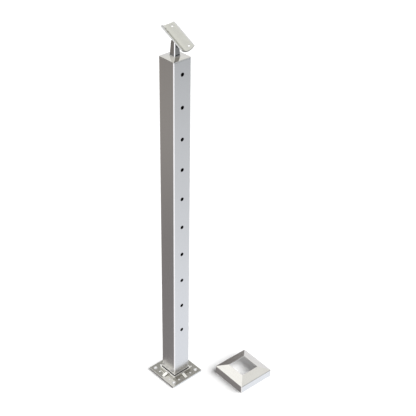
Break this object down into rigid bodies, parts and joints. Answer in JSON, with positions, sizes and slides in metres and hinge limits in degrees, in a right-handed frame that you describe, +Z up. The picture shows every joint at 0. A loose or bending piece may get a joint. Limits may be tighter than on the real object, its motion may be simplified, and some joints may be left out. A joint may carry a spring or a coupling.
{
  "type": "stair railing post",
  "caption": "Square stainless railing post for horizontal cables, with a ribbed base flange, a pyramid cap, a tilting curved handrail saddle and a loose base cover.",
  "frame": {"origin": "centre of the base flange's underside", "axes": "+Z up along the post; cables pass along X; the handrail falls towards +X"},
  "size_m": [0.2344, 0.2319, 0.9826],
  "materials": {
    "satin_tube": "satin brushed",
    "cast_flange": "blasted cast",
    "weld_bead": "ground",
    "polished_casting": "polished",
    "fastener_steel": "plain",
    "polished_sheet": "polished",
    "satin_cover": "satin brushed"
  },
  "bodies": {
    "root": {"post_tube": "satin_tube", "base_flange": "cast_flange", "foot_weld": "weld_bead", "top_cap": "polished_casting", "stem": "polished_casting", "flat_washer": "fastener_steel", "spring_washer": "fastener_steel", "stem_bolt": "fastener_steel", "pivot_screw": "fastener_steel", "base_cover": "satin_cover"},
    "saddle": {"saddle_plate": "polished_sheet", "saddle_lug": "polished_sheet"}
  },
  "joints": [
    {"name": "saddle_tilt", "type": "hinge", "parent": "root", "child": "saddle", "pos_m": [0, 0, 0.9462], "axis": [0, 1, 0], "range_deg": [-87, 33]}
  ]
}
